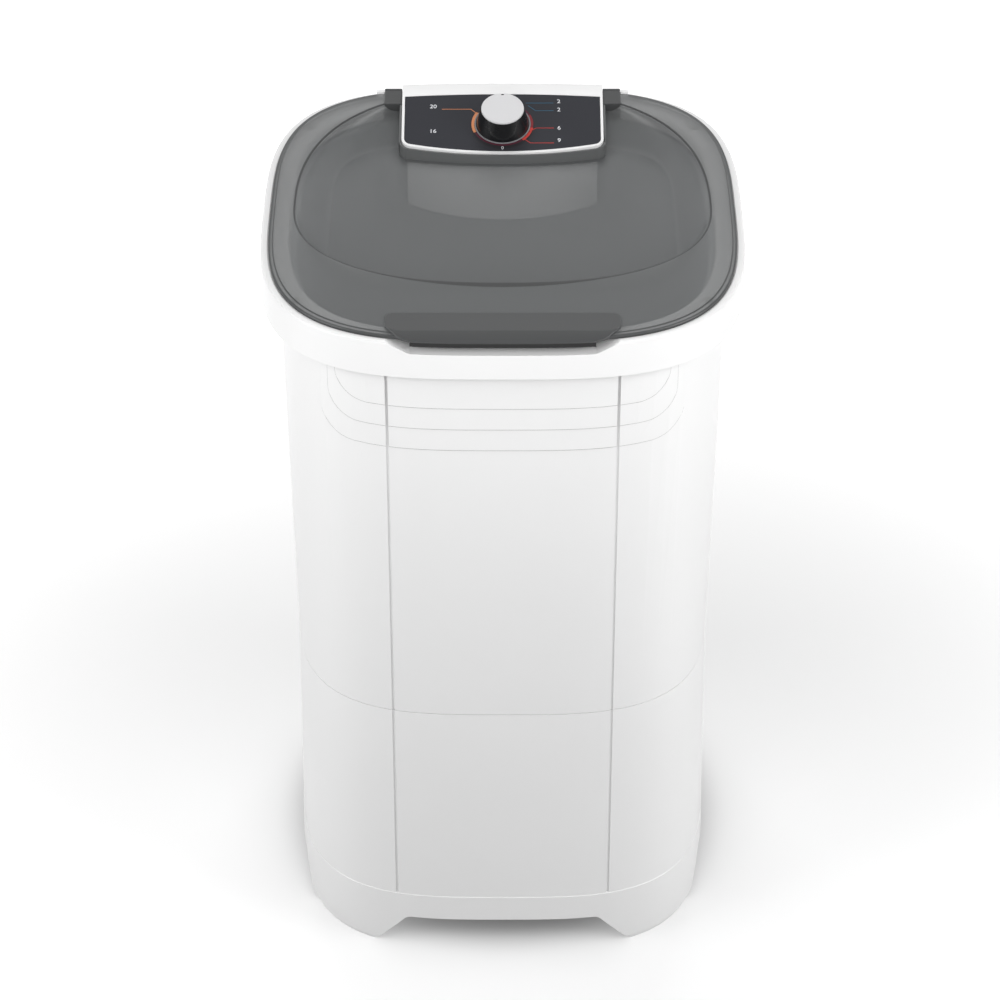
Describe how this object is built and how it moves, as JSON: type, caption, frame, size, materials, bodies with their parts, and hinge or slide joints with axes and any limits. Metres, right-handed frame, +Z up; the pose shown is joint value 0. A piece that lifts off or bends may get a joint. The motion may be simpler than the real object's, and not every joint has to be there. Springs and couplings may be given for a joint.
{
  "type": "semi-automatic washing machine",
  "caption": "Top-loading tub washing machine with a smoked hinged lid, a timer knob on a sloping console, a belt-driven agitator and a drain at the back.",
  "frame": {"origin": "on the floor, below the middle of the machine", "axes": "+X to the machine's right as one stands before it, -Y towards the person who uses it, +Z up"},
  "size_m": [0.5322, 0.5622, 0.8968],
  "materials": {
    "white_body": "moulded white plastic, satin gloss",
    "tub_plastic": "moulded polypropylene, satin",
    "smoke_lid": "smoked translucent plastic, glossy",
    "slate_panel": "printed foil panel, satin",
    "light_ring": "thin light trim ring, glossy",
    "black_knob": "glossy black plastic",
    "timer_plastic": "natural nylon",
    "screw_steel": "zinc-plated steel",
    "cast_alloy": "cast aluminium",
    "motor_paint": "painted steel",
    "bronze": "sintered bronze",
    "rubber_black": "black rubber",
    "loom_sleeve": "black sleeving",
    "dark_plastic": "dark moulded plastic",
    "hose_grey": "grey corrugated plastic",
    "filter_blue": "blue moulded plastic",
    "net_fabric": "fine woven net"
  },
  "bodies": {
    "cabinet": {"upper_cabinet": "white_body", "lower_cabinet": "white_body", "foot_pads": "rubber_black", "cabinet_screws": "screw_steel", "top_rim": "white_body", "wash_tub": "tub_plastic", "console_housing": "white_body", "control_panel": "slate_panel", "dial_ring": "light_ring", "timer_body": "timer_plastic", "timer_screws": "screw_steel", "hinge_pins": "screw_steel", "bearing_housing": "cast_alloy", "shaft_bushes": "bronze", "shaft_seal": "rubber_black", "bearing_screws": "screw_steel", "drive_belt": "rubber_black", "motor_bracket": "screw_steel", "motor_mounts": "rubber_black", "motor_bolts": "screw_steel", "motor_shell": "motor_paint", "motor_top_cover": "cast_alloy", "motor_foot_cover": "cast_alloy", "motor_tie_bolts": "screw_steel", "capacitor": "cast_alloy", "capacitor_nut": "screw_steel", "drain_strainer": "screw_steel", "drain_elbow": "dark_plastic", "drain_hose": "hose_grey", "hose_clamps": "screw_steel", "drain_spout": "dark_plastic", "cord_gland": "rubber_black", "wiring_loom": "loom_sleeve", "filter_guide": "tub_plastic"},
    "wash_drive": {"agitator": "tub_plastic", "agitator_cap": "tub_plastic", "agitator_bolt": "screw_steel", "drive_shaft": "screw_steel", "driven_pulley": "dark_plastic", "pulley_nut": "screw_steel"},
    "motor_rotor": {"motor_shaft": "screw_steel", "motor_pulley": "cast_alloy", "motor_fan": "dark_plastic"},
    "timer_knob": {"knob_skirt": "black_knob", "knob_cap": "white_body", "timer_shaft": "screw_steel"},
    "lid": {"lid": "smoke_lid", "lid_buffers": "rubber_black"},
    "lint_filter": {"filter_frame": "filter_blue", "filter_net": "net_fabric"}
  },
  "joints": [
    {"name": "lid_hinge", "type": "hinge", "parent": "cabinet", "child": "lid", "pos_m": [0, 0.262, 0.866], "axis": [-1, 0, 0], "range_deg": [0, 95]},
    {"name": "knob_turn", "type": "hinge", "parent": "cabinet", "child": "timer_knob", "pos_m": [0, 0.19196, 0.86565], "axis": [0, 0.2807, -0.9598], "range_deg": [0, 300]},
    {"name": "agitator_spin", "type": "hinge", "parent": "cabinet", "child": "wash_drive", "pos_m": [0, 0, 0.3], "axis": [0, 0, 1], "continuous": true},
    {"name": "motor_spin", "type": "hinge", "parent": "cabinet", "child": "motor_rotor", "pos_m": [0, 0.155, 0.2], "axis": [0, 0, 1], "continuous": true},
    {"name": "filter_lift", "type": "slide", "parent": "cabinet", "child": "lint_filter", "axis": [0, -0.0562, 0.9984], "range_m": [0, 0.1]}
  ],
  "couplings": [
    {"joint": "motor_spin", "follows": "agitator_spin", "ratio": 4.642}
  ]
}
